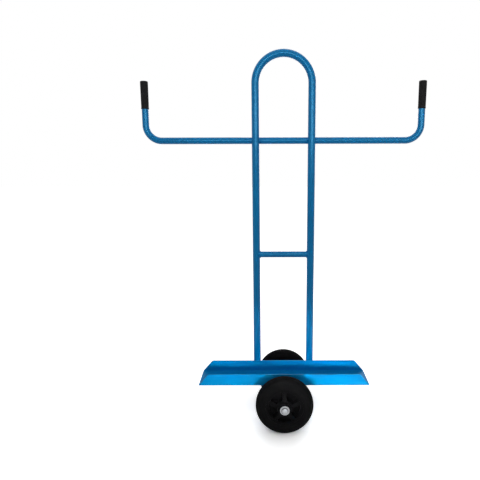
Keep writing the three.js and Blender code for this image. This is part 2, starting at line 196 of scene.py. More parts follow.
def sweep(path, radius, sides, loop=False):
    """A round bar along a path; radius is a number or one for each point."""
    count = len(path)
    radii = radius if isinstance(radius, list) else [radius] * count
    verts, faces = [], []
    normal = None
    for i, point in enumerate(path):
        before = path[i - 1] if i or loop else point
        after = path[(i + 1) % count] if i < count - 1 or loop else point
        along = (after - before).normalized()
        if normal is None:
            normal = along.orthogonal().normalized()
        normal = (normal - along * normal.dot(along)).normalized()
        across = along.cross(normal)
        for k in range(sides):
            angle = TAU * k / sides
            verts.append(point + (normal * math.cos(angle) + across * math.sin(angle)) * radii[i])
    for i in range(count if loop else count - 1):
        j = (i + 1) % count
        for k in range(sides):
            m = (k + 1) % sides
            faces.append((i * sides + k, i * sides + m, j * sides + m, j * sides + k))
    if not loop:
        faces.append(tuple(range(sides)))
        faces.append(tuple(range((count - 1) * sides, count * sides)))
    return verts, faces


def skin(rows, place, axis, up, loop):
    """Faces between rows of (radius, along, angle) points set round an axis; a row of one point is a pole."""
    axis, up, place = Vector(axis), Vector(up), Vector(place)
    side = up.cross(axis)
    sides = max(len(row) for row in rows)
    verts, faces, numbers = [], [], []
    for row in rows:
        first = len(verts)
        numbers.append([first + k % len(row) for k in range(sides)])
        for radius, along, angle in row:
            verts.append(place + axis * along + (side * math.cos(angle) + up * math.sin(angle)) * radius)
    pairs = list(zip(numbers, numbers[1:]))
    if loop:
        pairs.append((numbers[-1], numbers[0]))
    for a, b in pairs:
        for k in range(sides):
            m = (k + 1) % sides
            corners = list(dict.fromkeys((a[k], a[m], b[m], b[k])))
            if len(corners) > 2:
                faces.append(tuple(corners))
    return verts, faces


def lathe(profile, sides, place, axis, up, warp=None):
    """A body turned from (radius, along) pairs, closed on itself unless its ends are on the axis."""
    rows = []
    for radius, along in profile:
        if radius < TINY:
            rows.append([(0.0, along, 0.0)])
            continue
        angles = [TAU * k / sides for k in range(sides)]
        rows.append([(*(warp(radius, along, a) if warp else (radius, along)), a) for a in angles])
    return skin(rows, place, axis, up, len(rows[0]) > 1)


def filleted(corners, steps=5):
    """(radius, along) pairs in metres from (radius, along, fillet) corners in millimetres."""
    points = [Vector((c[0], c[1])) * MM for c in corners]
    rounds = [(c[2] if len(c) > 2 else 0) * MM for c in corners]
    result = []
    for i, corner in enumerate(points):
        before, after = points[i - 1], points[(i + 1) % len(points)]
        into, out = corner - before, after - corner
        if rounds[i] == 0 or into.length < TINY or out.length < TINY:
            result.append(tuple(corner))
            continue
        turn = into.angle(out)
        longest = min(into.length * FILLET_SHARE, out.length * FILLET_SHARE)
        reach = min(rounds[i] * math.tan(turn / 2), longest)
        start = corner - into.normalized() * reach
        end = corner + out.normalized() * reach
        for k in range(steps + 1):
            t = k / steps
            result.append(tuple(start * (1 - t) ** 2 + corner * (2 * t * (1 - t)) + end * t * t))
    return result


def dense(profile, step, loop):
    """The same outline with no stretch longer than a step."""
    result = []
    ends = profile[1:] + profile[:1] if loop else profile[1:]
    for (r0, h0), (r1, h1) in zip(profile, ends):
        parts = max(1, math.ceil(math.hypot(r1 - r0, h1 - h0) / step))
        result.extend((r0 + (r1 - r0) * k / parts, h0 + (h1 - h0) * k / parts) for k in range(parts))
    if not loop:
        result.append(profile[-1])
    return result


def smooth(low, high, value):
    """0 below low, 1 above high and an eased step between."""
    t = min(1.0, max(0.0, (value - low) / (high - low)))
    return t * t * (3 - 2 * t)


def resampled(path, step, loop):
    """Points spaced evenly along a path."""
    points = path + path[:1] if loop else path
    lengths = [0.0]
    for a, b in zip(points, points[1:]):
        lengths.append(lengths[-1] + (b - a).length)
    count = max(2, round(lengths[-1] / step))
    result, j = [], 0
    for i in range(count if loop else count + 1):
        at = lengths[-1] * i / count
        while j < len(lengths) - 2 and lengths[j + 1] < at:
            j += 1
        share = (at - lengths[j]) / max(1e-12, lengths[j + 1] - lengths[j])
        result.append(points[j].lerp(points[j + 1], min(1.0, share)))
    return result


def bead(path, size, loop=False):
    """A weld bead with the ripples of its pool, tapered where it starts and stops."""
    points = resampled([Vector(p) for p in path], BEAD_STEP, loop)
    last = len(points) - 1
    turns = max(1, round(len(points) * BEAD_STEP / BEAD_RIPPLE))
    radii = []
    for i in range(len(points)):
        ripple = RIPPLE_RISE * math.sin(TAU * turns * i / len(points))
        swell = SWELL_RISE * math.sin(TAU * SWELLS * i / len(points))
        taper = 1.0 if loop else TIP_SHARE + (1 - TIP_SHARE) * min(1.0, min(i, last - i) / TIP_STEPS)
        radii.append(size * (1 + ripple + swell) * taper)
    return sweep(points, radii, BEAD_SIDES, loop)


# Materials


def material_of(name):
    """A new material with its node tree, main shader and object coordinates."""
    material = bpy.data.materials.new(name)
    material.use_nodes = True
    tree = material.node_tree
    place = tree.nodes.new("ShaderNodeTexCoord").outputs["Object"]
    return material, tree, tree.nodes["Principled BSDF"], place


def noise(tree, place, scale, detail=2.0, stretch=None):
    """A noise value of so many waves a metre, stretched along axes where asked."""
    if stretch:
        mapping = tree.nodes.new("ShaderNodeMapping")
        mapping.inputs["Scale"].default_value = stretch
        tree.links.new(place, mapping.inputs["Vector"])
        place = mapping.outputs["Vector"]
    node = tree.nodes.new("ShaderNodeTexNoise")
    node.inputs["Scale"].default_value = scale
    node.inputs["Detail"].default_value = detail
    tree.links.new(place, node.inputs["Vector"])
    return node.outputs["Fac"]


def ranged(tree, value, low, high, to_low=0.0, to_high=1.0):
    """A value mapped from one range to another and held at its ends."""
    node = tree.nodes.new("ShaderNodeMapRange")
    for name, number in (("From Min", low), ("From Max", high), ("To Min", to_low), ("To Max", to_high)):
        node.inputs[name].default_value = number
    tree.links.new(value, node.inputs["Value"])
    return node.outputs["Result"]


def maths(tree, kind, first, second):
    """Two values, or a value and a number, put together."""
    node = tree.nodes.new("ShaderNodeMath")
    node.operation = kind
    for socket, value in zip(node.inputs, (first, second)):
        if isinstance(value, (int, float)):
            socket.default_value = value
        else:
            tree.links.new(value, socket)
    return node.outputs["Value"]


def mixed(tree, share, first, second):
    """Two colours mixed by a share; each is a colour or a socket."""
    node = tree.nodes.new("ShaderNodeMix")
    node.data_type = "RGBA"
    tree.links.new(share, node.inputs["Factor"])
    for socket, colour in ((node.inputs[6], first), (node.inputs[7], second)):
        if isinstance(colour, tuple):
            socket.default_value = colour
        else:
            tree.links.new(colour, socket)
    return node.outputs[2]


def bumped(tree, shader, heights, distance):
    """Bumps from (height, strength) pairs, coarse ones first."""
    normal = None
    for height, strength in heights:
        node = tree.nodes.new("ShaderNodeBump")
        node.inputs["Strength"].default_value = strength
        node.inputs["Distance"].default_value = distance
        tree.links.new(height, node.inputs["Height"])
        if normal:
            tree.links.new(normal, node.inputs["Normal"])
        normal = node.outputs["Normal"]
    tree.links.new(normal, shader.inputs["Normal"])


# The tubes' coat is the tray's coat painted darker: painted shade standing in for less light on the tubes
TUBE_PAINT_SHADED = (srgb(0, 129, 198), srgb(0, 136, 206))
TRAY_PAINT = (srgb(0, 141, 209), srgb(0, 148, 217))
PAINT_RUBBED = srgb(64, 172, 222)
PAINT_GLINT = (0.2, 0.66, 1.0, 1.0)
# Painted shade for the metals' corners and hollows, and how far the ambient occlusion that lays it looks
PAINTED_SHADE = srgb(52, 52, 52)
PAINTED_SHADE_REACH = 5 * MM

# Noises in the finishes, in waves a metre
PAINT_CLOUDS = 7.0
PAINT_SHEEN = 45.0
PAINT_PEEL = 420.0
SCUFF_STREAKS = 26.0
SCUFF_PATCHES = 5.0
PLASTIC_FLOW = 22.0
PLASTIC_SHEEN = 160.0
PLASTIC_GRAIN = 1600.0
METAL_SPANGLE = 240.0
METAL_MARKS = 500.0

# How far scuffs run along the tray and across it, and how much duller they are
STREAK_STRETCH = (0.16, 3.0, 5.0)
PATCH_STRETCH = (1.0, 2.0, 2.0)
SCUFF_DULLNESS = 0.3

# Strength and depth of the bumps
PAINT_BUMP = 0.01
PAINT_BUMP_DEPTH = 0.3 * MM
RUBBER_COARSE_BUMP = 0.12
RUBBER_FINE_BUMP = 0.25
RUBBER_BUMP_DEPTH = 0.25 * MM
PLASTIC_BUMP = 0.2
PLASTIC_BUMP_DEPTH = 0.15 * MM
METAL_BUMP = 0.05
METAL_BUMP_DEPTH = 0.1 * MM


def powder_coat(name, shades, gloss, rough_low, rough_high, scuffed):
    """Sky-blue powder coat with its orange peel; scuffed where loads slide over it."""
    material, tree, shader, place = material_of(name)
    clouds = noise(tree, place, PAINT_CLOUDS, 3.0)
    colour = mixed(tree, ranged(tree, clouds, 0.35, 0.65), *shades)
    rough = ranged(tree, noise(tree, place, PAINT_SHEEN, 3.0), 0.3, 0.7, rough_low, rough_high)
    if scuffed:
        streaks = noise(tree, place, SCUFF_STREAKS, 3.0, STREAK_STRETCH)
        patches = noise(tree, place, SCUFF_PATCHES, 2.0, PATCH_STRETCH)
        worn = maths(
            tree,
            "MULTIPLY",
            ranged(tree, streaks, 0.5, 0.75),
            ranged(tree, patches, 0.4, 0.7, 0.0, 0.3),
        )
        colour = mixed(tree, worn, colour, PAINT_RUBBED)
        rough = maths(tree, "ADD", rough, maths(tree, "MULTIPLY", worn, SCUFF_DULLNESS))
    tree.links.new(colour, shader.inputs["Base Color"])
    tree.links.new(rough, shader.inputs["Roughness"])
    shader.inputs["Specular IOR Level"].default_value = gloss
    shader.inputs["Specular Tint"].default_value = PAINT_GLINT
    peel = noise(tree, place, PAINT_PEEL, 2.0)
    bumped(tree, shader, ((peel, PAINT_BUMP),), PAINT_BUMP_DEPTH)
    return material


def black_rubber(name, dark, dusty, gloss, waves, grain):
    """Black rubber, a little dusty, with a fine moulded grain."""
    material, tree, shader, place = material_of(name)
    dust = ranged(tree, noise(tree, place, waves, 5.0), 0.45, 0.75)
    tree.links.new(mixed(tree, dust, dark, dusty), shader.inputs["Base Color"])
    rough = ranged(tree, noise(tree, place, waves * 3, 3.0), 0.3, 0.7, 0.62, 0.82)
    tree.links.new(rough, shader.inputs["Roughness"])
    shader.inputs["Specular IOR Level"].default_value = gloss
    fine = noise(tree, place, grain, 2.0)
    coarse = noise(tree, place, grain / 8, 3.0)
    heights = ((coarse, RUBBER_COARSE_BUMP), (fine, RUBBER_FINE_BUMP))
    bumped(tree, shader, heights, RUBBER_BUMP_DEPTH)
    return material


def moulded_plastic(name, dark, pale, gloss, rough_low, rough_high):
    """Moulded plastic with flow marks and a spark-eroded grain."""
    material, tree, shader, place = material_of(name)
    flow = ranged(tree, noise(tree, place, PLASTIC_FLOW, 4.0), 0.35, 0.7)
    tree.links.new(mixed(tree, flow, dark, pale), shader.inputs["Base Color"])
    rough = ranged(tree, noise(tree, place, PLASTIC_SHEEN, 3.0), 0.3, 0.7, rough_low, rough_high)
    tree.links.new(rough, shader.inputs["Roughness"])
    shader.inputs["Specular IOR Level"].default_value = gloss
    grain = noise(tree, place, PLASTIC_GRAIN, 2.0)
    bumped(tree, shader, ((grain, PLASTIC_BUMP),), PLASTIC_BUMP_DEPTH)
    return material


def bare_metal(name, dark, pale, rough_low, rough_high, stretch):
    """Plated or turned metal with fine marks, darkened by painted shade in its corners and hollows."""
    material, tree, shader, place = material_of(name)
    spangle = ranged(tree, noise(tree, place, METAL_SPANGLE, 3.0), 0.35, 0.65)
    # Painted shade: ambient occlusion darkens the base colour towards a grey in corners and hollows
    corner = tree.nodes.new("ShaderNodeAmbientOcclusion")
    corner.inputs["Distance"].default_value = PAINTED_SHADE_REACH
    unshaded = ranged(tree, corner.outputs["AO"], 0.3, 0.9)
    colour = mixed(tree, unshaded, PAINTED_SHADE, mixed(tree, spangle, dark, pale))
    tree.links.new(colour, shader.inputs["Base Color"])
    marks = noise(tree, place, METAL_MARKS, 3.0, stretch)
    rough = ranged(tree, marks, 0.3, 0.7, rough_low, rough_high)
    tree.links.new(rough, shader.inputs["Roughness"])
    shader.inputs["Metallic"].default_value = 1.0
    bumped(tree, shader, ((marks, METAL_BUMP),), METAL_BUMP_DEPTH)
    return material


# The tubes, welds, plates and stand wear the darker copy of the coat, painted shade
paint = powder_coat("blue_powder_coat", TUBE_PAINT_SHADED, 0.5, 0.2, 0.25, False)
tray_paint = powder_coat("blue_powder_coat_scuffed", TRAY_PAINT, 0.08, 0.3, 0.4, True)
tyre_rubber = black_rubber("tyre_rubber", srgb(10, 10, 11), srgb(15, 15, 15), 0.03, 18.0, 900.0)
foot_rubber = black_rubber("foot_rubber", srgb(13, 13, 14), srgb(26, 26, 25), 0.1, 60.0, 1200.0)
grip_rubber = black_rubber("grip_rubber", srgb(26, 26, 27), srgb(37, 37, 38), 0.12, 50.0, 1500.0)
rim_plastic = moulded_plastic("rim_plastic", srgb(6, 6, 7), srgb(11, 11, 12), 0.03, 0.42, 0.58)
plug_plastic = moulded_plastic("plug_plastic", srgb(14, 14, 15), srgb(24, 24, 25), 0.1, 0.4, 0.55)
cage_plastic = moulded_plastic("cage_plastic", srgb(206, 202, 190), srgb(222, 218, 207), 0.3, 0.4, 0.55)
zinc = bare_metal("zinc_plate", srgb(162, 164, 167), srgb(186, 188, 191), 0.28, 0.38, None)
steel = bare_metal("bright_steel", srgb(150, 152, 155), srgb(184, 186, 188), 0.22, 0.36, (1.0, 6.0, 1.0))


# Tray


def tray_section():
    """Half lengths and places of the sheet's two skins, from the front lip's top round to the rear's."""
    depth = tray_high.y
    slant = Vector((LIP_TOP_HALF - tray_half, tray_height - TRAY_SHEET)).normalized() * LIP_CORNER
    low = Vector((LIP_TOP_HALF, tray_height)) - slant
    corner = Vector((LIP_TOP_HALF, tray_height))
    high = corner - Vector((LIP_CORNER, 0))
    inner_bend = TRAY_BEND - TRAY_SHEET

    def half_at(z):
        """Half the sheet's length at a height."""
        rise = max(0.0, (z - TRAY_SHEET) / (tray_height - TRAY_SHEET))
        return tray_half + (LIP_TOP_HALF - tray_half) * rise

    rows = []
    for k in range(LIP_CORNER_STEPS, -1, -1):
        t = k / LIP_CORNER_STEPS
        half, z = low * (1 - t) ** 2 + corner * (2 * t * (1 - t)) + high * t * t
        rows.append(((half, -depth, z), (half, -depth + TRAY_SHEET, z)))
    for k in range(1, LIP_STEPS):
        z = low.y + (TRAY_BEND - low.y) * k / LIP_STEPS
        rows.append(((half_at(z), -depth, z), (half_at(z), -depth + TRAY_SHEET, z)))
    for k in range(FOLD_STEPS + 1):
        angle = math.pi / 2 * k / FOLD_STEPS
        pair = []
        for radius in (TRAY_BEND, inner_bend):
            z = TRAY_BEND - radius * math.sin(angle)
            pair.append((half_at(z), -depth + TRAY_BEND - radius * math.cos(angle), z))
        rows.append(tuple(pair))
    mirrored = [tuple((h, -y, z) for h, y, z in pair) for pair in reversed(rows)]
    return rows + mirrored


tray_low, tray_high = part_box("tray")
tray_half = tray_high.x
tray_height = tray_high.z - tray_low.z
section = tray_section()
tray_verts = []
for pair in section:
    for half, y, z in pair:
        tray_verts.append((-half, y, tray_low.z + z))
        tray_verts.append((half, y, tray_low.z + z))
tray_faces = []
for i in range(len(section) - 1):
    a, b = i * 4, i * 4 + 4
    tray_faces += [(a, a + 1, b + 1, b), (a + 2, b + 2, b + 3, a + 3)]
    tray_faces += [(a, b, b + 2, a + 2), (a + 1, a + 3, b + 3, b + 1)]
end = (len(section) - 1) * 4
tray_faces += [(0, 2, 3, 1), (end, end + 1, end + 3, end + 2)]
tray = piece_of("tray_sheet", tray_verts, tray_faces, tray_paint, "frame", "blue_paint", ["tray"])
soften(tray, TRAY_EDGE)

# Hoop, cross tube and handle bar
hoop_low, hoop_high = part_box("hoop_frame")
leg_x = HOOP_BEND
leg_y = (hoop_low.y + hoop_high.y) / 2
hoop_path = bent(
    (
        (-leg_x, leg_y, hoop_low.z),
        (-leg_x, leg_y, hoop_high.z - HOOP_R),
        (leg_x, leg_y, hoop_high.z - HOOP_R),
        (leg_x, leg_y, hoop_low.z),
    ),
    HOOP_BEND,
)
piece_of("hoop_tube", *sweep(hoop_path, HOOP_R, TUBE_SIDES), paint, "frame", "blue_paint", ["hoop_frame"])

cross_low, cross_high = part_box("cross_tube")
cross_z = (cross_low.z + cross_high.z) / 2


def cope(angle, radius, grown):
    """A point of the line where a level tube of a radius meets the right leg, grown from the leg's skin."""
    across = radius * math.cos(angle)
    inset = math.sqrt((HOOP_R + grown) ** 2 - across**2)
    return Vector((leg_x - inset, leg_y + across, cross_z + radius * math.sin(angle)))


def mirrored_x(point):
    """The same point on the cart's other side."""
    return Vector((-point.x, point.y, point.z))


cross_ring = [cope(TAU * k / TUBE_SIDES, CROSS_R, FIT) for k in range(TUBE_SIDES)]
cross_verts = cross_ring + [mirrored_x(p) for p in cross_ring]
cross_verts += [Vector((x, leg_y, cross_z)) for x in (cross_ring[0].x, -cross_ring[0].x)]
cross_faces = []
for k in range(TUBE_SIDES):
    m = (k + 1) % TUBE_SIDES
    cross_faces.append((k, m, TUBE_SIDES + m, TUBE_SIDES + k))
    cross_faces.append((2 * TUBE_SIDES, m, k))
    cross_faces.append((2 * TUBE_SIDES + 1, TUBE_SIDES + k, TUBE_SIDES + m))
piece_of("cross_rail", cross_verts, cross_faces, paint, "frame", "blue_paint", ["cross_tube"])

bar_low, bar_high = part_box("handle_bar")
bar_y = (bar_low.y + bar_high.y) / 2
bar_z = bar_low.z + BAR_R
handle_x = bar_high.x - BAR_R
bar_path = bent(
    (
        (-handle_x, bar_y, bar_high.z),
        (-handle_x, bar_y, bar_z),
        (handle_x, bar_y, bar_z),
        (handle_x, bar_y, bar_high.z),
    ),
    HANDLE_BEND,
)
piece_of("handle_tube", *sweep(bar_path, BAR_R, TUBE_SIDES), paint, "frame", "blue_paint", ["handle_bar"])

# Grips, ribbed lengthwise where the hand goes
GRIP_RIBS = 36
GRIP_RIB_COLUMNS = 6
GRIP_RIB_DEPTH = 0.4 * MM
GRIP_SKIN = 15.9 * MM
GRIP_STEP = 2.2 * MM
RIBS_START = (13 * MM, 17 * MM)
RIBS_STOP = (107 * MM, 102 * MM)


def grip_warp(radius, along, angle):
    """Sinks the grooves between the ribs."""
    if radius < GRIP_SKIN:
        return radius, along
    window = smooth(*RIBS_START, along) * smooth(*RIBS_STOP, along)
    groove = smooth(0.3, 0.75, 0.5 + 0.5 * math.cos(angle * GRIP_RIBS))
    return radius - GRIP_RIB_DEPTH * groove * window, along


grip_profile = dense(
    filleted(
        (
            (0, 116),
            (15.3, 116),
            (15.3, 0, 0.4),
            (17.0, 0, 1.0),
            (17.1, 6.5, 1.0),
            (16.5, 7.8, 1.0),
            (16.6, 10.0, 0.8),
            (17.1, 112.0, 2.0),
            (17.2, 120.0, 5.0),
            (6.2, 120.0, 0.6),
            (5.8, 119.3, 0.4),
            (1.6, 119.3, 0.3),
            (1.4, 117.4),
            (0, 117.4),
        )
    ),
    GRIP_STEP,
    False,
)
for side in ("left", "right"):
    grip_low, grip_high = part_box(f"{side}_grip")
    place = ((grip_low.x + grip_high.x) / 2, bar_y, grip_low.z)
    grip = lathe(grip_profile, GRIP_RIBS * GRIP_RIB_COLUMNS, place, Z_AXIS, Y_AXIS, grip_warp)
    piece_of(f"{side}_handle_grip", *grip, grip_rubber, "frame", "grip_rubber", [f"{side}_grip"])

# Plugs in the hoop's lower ends
plug_profile = filleted(
    (
        (0, -3),
        (13, -3, 4.0),
        (16.6, -2.2, 1.6),
        (16.85, 0, 0.3),
        (14.0, 0),
        (14.0, 17, 1.0),
        (0, 17),
    )
)
for side, x in (("left", -leg_x), ("right", leg_x)):
    plug = lathe(plug_profile, TUBE_SIDES, (x, leg_y, hoop_low.z), Z_AXIS, Y_AXIS)
    piece_of(f"{side}_end_plug", *plug, plug_plastic, "frame", "black_plastic", [f"{side}_leg_plug"])

# Wheels, turned about the axle with their outer side along the axis given; sizes in millimetres
AXLE_BORE = 10.3
TYRE_SEAT = 76.3
TYRE_SEAT_HALF = 22.5
TYRE_WALL = 81.3
TYRE_WALL_HALF = 27.0
TYRE_WALL_STEPS = 13
TYRE_WIDEST = 98.78
TYRE_CROWN = 125.0
TYRE_HALF = 30.0
TYRE_POWER = 2 / 2.6
TYRE_STEPS = 190
TREAD_FROM = 118.0
TREAD_GROOVES = (-15.0, -7.5, 0.0, 7.5, 15.0)
TREAD_DEPTH = 1.7
TREAD_HALF = 1.3
TREAD_EASE = 0.5
WALL_RINGS = ((88.5, 0.9, 0.45), (106.0, 1.0, 0.5), (108.6, 0.8, 0.4))
RING_OUT = 0.5
RING_IN = 0.4


def tyre_profile():
    """The tyre's section with its seat in the rim, wall rings and tread grooves."""
    wall = []
    for k in range(TYRE_WALL_STEPS):
        radius = TYRE_WALL + (TYRE_WIDEST - TYRE_WALL) * k / TYRE_WALL_STEPS
        wall.append((radius, TYRE_WALL_HALF + (TYRE_HALF - TYRE_WALL_HALF) * k / TYRE_WALL_STEPS))
    outline = [(radius, -across) for radius, across in wall]
    for k in range(TYRE_STEPS + 1):
        angle = math.pi * (k / TYRE_STEPS - 0.5)
        across = abs(math.sin(angle)) ** TYRE_POWER * math.copysign(TYRE_HALF, angle)
        out = max(0.0, math.cos(angle)) ** TYRE_POWER
        outline.append((TYRE_WIDEST + (TYRE_CROWN - TYRE_WIDEST) * out, across))
    outline += wall[::-1]
    profile = []
    for radius, along in outline:
        if radius > TREAD_FROM:
            nearest = min(abs(along - g) for g in TREAD_GROOVES)
            radius -= TREAD_DEPTH * smooth(TREAD_HALF + TREAD_EASE, TREAD_HALF - TREAD_EASE, nearest)
        else:
            for middle, half, height in WALL_RINGS:
                rise = height * smooth(half + RING_OUT, half - RING_IN, abs(radius - middle))
                along -= math.copysign(rise, along)
        profile.append((radius * MM, along * MM))
    seat = [(r, TYRE_SEAT_HALF) for r in (TYRE_WALL, TYRE_SEAT)]
    seat += [(r, -TYRE_SEAT_HALF) for r in (TYRE_SEAT, TYRE_WALL)]
    return profile + [(r * MM, h * MM) for r, h in seat]


RIM_SPOKES = 5
SPOKE_HALF = 8.0
SPOKE_COLUMNS = 8
FLOOR_COLUMNS = 12
FLOOR_ROWS = 9
POCKET_INNER = 36.0
POCKET_OUTER = 68.0
POCKET_CORNER = 4.0
POCKET_EDGE = 0.8
POCKET_DRAFT = 0.8
POCKET_FOOT = 1.8
EDGE_STEPS = 4
WEB_HALF = 4.0
RIM_SIDE = (
    (17.8, 46.0, 0.6),
    (29.0, 46.0, 1.4),
    (31.0, 36.0, 3.0),
    (70.0, 22.8, 0.9),
    (71.0, 26.5, 0.8),
    (81.0, 26.5, 1.0),
    (81.0, 22.8, 0.3),
    (76.0, 22.8),
)


def pocket_wall():
    """A pocket's wall from land to floor: way in, share of the land's height, and offset from that."""
    points = []
    for k in range(EDGE_STEPS + 1):
        turn = math.pi / 2 * k / EDGE_STEPS
        points.append((POCKET_EDGE * (math.sin(turn) - 1), 1.0, POCKET_EDGE * (math.cos(turn) - 1)))
    for k in range(EDGE_STEPS + 1):
        turn = math.pi / 2 * k / EDGE_STEPS
        way = POCKET_DRAFT + POCKET_FOOT * (1 - math.cos(turn))
        points.append((way, 0.0, POCKET_FOOT * (1 - math.sin(turn))))
    return points


def rim_rows():
    """(radius, land, share, offset) in millimetres, from the hub's end to the tyre's seat."""
    (r0, h0, _), (r1, h1, _) = RIM_SIDE[2:4]

    def land(radius):
        """Height of the rim's side at a radius."""
        return h0 + (h1 - h0) * (radius - r0) / (r1 - r0)

    wall = pocket_wall()
    pocket = [(POCKET_INNER + way, share, offset) for way, share, offset in wall]
    reach = POCKET_DRAFT + POCKET_FOOT
    span = POCKET_OUTER - POCKET_INNER - 2 * reach
    for k in range(1, FLOOR_ROWS):
        pocket.append((POCKET_INNER + reach + span * k / FLOOR_ROWS, 0.0, 0.0))
    pocket += [(POCKET_OUTER - way, share, offset) for way, share, offset in reversed(wall)]
    turned = [(r / MM, h / MM) for r, h in filleted(RIM_SIDE, EDGE_STEPS)]
    hub = [(r, h, 1.0, 0.0) for r, h in turned if r < POCKET_INNER]
    band = [(r, h, 1.0, 0.0) for r, h in turned if r > POCKET_OUTER]
    return hub + [(r, land(r), share, offset) for r, share, offset in pocket] + band


def rim_columns(radius):
    """(angle, share, offset) round one spoke and one pocket at a radius in millimetres."""
    held = min(max(radius, POCKET_INNER), POCKET_OUTER)
    gap = min(held - POCKET_INNER, POCKET_OUTER - held, POCKET_CORNER)
    half = SPOKE_HALF + POCKET_CORNER - math.sqrt(POCKET_CORNER**2 - (POCKET_CORNER - gap) ** 2)
    pitch = TAU / RIM_SPOKES
    wall = [(math.asin((half + way) / held), share, offset) for way, share, offset in pocket_wall()]
    crest, foot = wall[0][0], wall[-1][0]
    columns = [(crest * (2 * k / SPOKE_COLUMNS - 1), 1.0, 0.0) for k in range(1, SPOKE_COLUMNS)]
    columns += wall
    for k in range(1, FLOOR_COLUMNS):
        columns.append((foot + (pitch - 2 * foot) * k / FLOOR_COLUMNS, 0.0, 0.0))
    columns += [(pitch - angle, share, offset) for angle, share, offset in reversed(wall)]
    return columns


def spoked_rim(place, axis):
    """The rim with five pockets sunk into each of its sides down to the web."""
    sides = {1: [], -1: []}
    for radius, land, row_share, row_offset in rim_rows():
        row = []
        for spoke in range(RIM_SPOKES):
            for angle, share, offset in rim_columns(radius):
                over_row = land * row_share + WEB_HALF * (1 - row_share) + row_offset
                over_column = land * share + WEB_HALF * (1 - share) + offset
                height = max(over_row, over_column)
                row.append((radius * MM, height * MM, TAU / 4 + TAU * spoke / RIM_SPOKES + angle))
        for sign, rows in sides.items():
            rows.append([(r, sign * h, a) for r, h, a in row])
    return skin(sides[1] + sides[-1][::-1], place, axis, Z_AXIS, True)


CAP_PLACE = 49
CAP_DOME = 11.5
CAP_WALL_TOP = 7.0
CAP_CROWN_INSIDE = 3.7
CAP_CROWN = 4.9
CAP_STEPS = 14
WASHER_R = 19.5
WASHER_THICK = 2.7
WASHER_PLACES = (("inner", -49.0), ("outer", 46.3))


def cap_profile():
    """A push-on cap: domed over the axle's end, with a raised rim round its brim."""
    turns = [math.pi / 2 * k / CAP_STEPS for k in range(CAP_STEPS)]
    inside = [(AXLE_BORE * math.sin(t), CAP_WALL_TOP + CAP_CROWN_INSIDE * math.cos(t)) for t in turns]
    outside = [(CAP_DOME * math.cos(t), CAP_WALL_TOP + CAP_CROWN * math.sin(t)) for t in turns]
    brim = (
        (AXLE_BORE, CAP_WALL_TOP),
        (AXLE_BORE, 0.0),
        (20.0, 0.0, 0.4),
        (20.0, 2.4, 0.8),
        (18.9, 3.4, 0.9),
        (15.4, 3.4, 0.9),
        (14.0, 1.2, 0.7),
        (CAP_DOME, 1.2, 0.5),
    )
    return filleted(tuple(inside) + brim + tuple(outside) + ((0.0, CAP_WALL_TOP + CAP_CROWN),))


tyre_section = tyre_profile()
cap_section = cap_profile()
washer_section = filleted(
    (
        (AXLE_BORE, 0),
        (WASHER_R, 0, 0.5),
        (WASHER_R, WASHER_THICK, 0.5),
        (AXLE_BORE, WASHER_THICK, 0.3),
    )
)
for wheel, outer in (("front", -Y_AXIS), ("rear", Y_AXIS)):
    body = f"{wheel}_wheel"
    tyre_low, tyre_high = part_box(f"{wheel}_tyre")
    middle = (tyre_low + tyre_high) / 2
    tyre = lathe(tyre_section, WHEEL_SIDES, middle, outer, Z_AXIS)
    piece_of(f"{wheel}_solid_tyre", *tyre, tyre_rubber, body, "tyre_rubber", [f"{wheel}_tyre"])
    rim = spoked_rim(middle, outer)
    piece_of(f"{wheel}_spoked_rim", *rim, rim_plastic, body, "black_plastic", [f"{wheel}_rim"])
    cap = lathe(cap_section, SMALL_SIDES, middle + outer * CAP_PLACE * MM, outer, Z_AXIS)
    piece_of(f"{wheel}_hub_cap", *cap, zinc, "frame", "zinc", [f"{wheel}_axle_cap"])
    for name, along in WASHER_PLACES:
        washer = lathe(washer_section, SMALL_SIDES, middle + outer * along * MM, outer, Z_AXIS)
        replaced = [f"{wheel}_{name}_washer"]
        piece_of(f"{wheel}_{name}_ring", *washer, plug_plastic, "frame", "black_plastic", replaced)

# Axle tube
AXLE_TUBE_R = 15.0
tube_low, tube_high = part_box("axle_tube")
axle_z = (tube_low.z + tube_high.z) / 2
reach = tube_high.y / MM
axle_tube_profile = filleted(
    (
        (AXLE_BORE, -reach, 0.4),
        (AXLE_TUBE_R, -reach, 0.8),
        (AXLE_TUBE_R, reach, 0.8),
        (AXLE_BORE, reach, 0.4),
    )
)
axle_tube = lathe(axle_tube_profile, SMALL_SIDES, (0, 0, axle_z), Y_AXIS, Z_AXIS)
piece_of("axle_housing", *axle_tube, paint, "frame", "blue_paint", ["axle_tube"])

# Parking stand and its feet
stand_low, stand_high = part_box("parking_stand")
foot_low, foot_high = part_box("left_stand_foot")
foot_y = (foot_low.y + foot_high.y) / 2
foot_z = (foot_low.z + foot_high.z) / 2
pivot_y = stand_low.y + STAND_R
pivot_z = stand_high.z - STAND_R
stand_path = bent(
    (
        (stand_low.x, pivot_y, pivot_z),
        (-STAND_LEG_X, pivot_y, pivot_z),
        (-STAND_LEG_X, foot_y, foot_z),
        (STAND_LEG_X, foot_y, foot_z),
        (STAND_LEG_X, pivot_y, pivot_z),
        (stand_high.x, pivot_y, pivot_z),
    ),
    STAND_BEND,
)
bail = sweep(stand_path, STAND_R, STAND_SIDES)
stand = piece_of("stand_bail", *bail, paint, "stand", "blue_paint", ["parking_stand"])
soften(stand, STAND_EDGE)

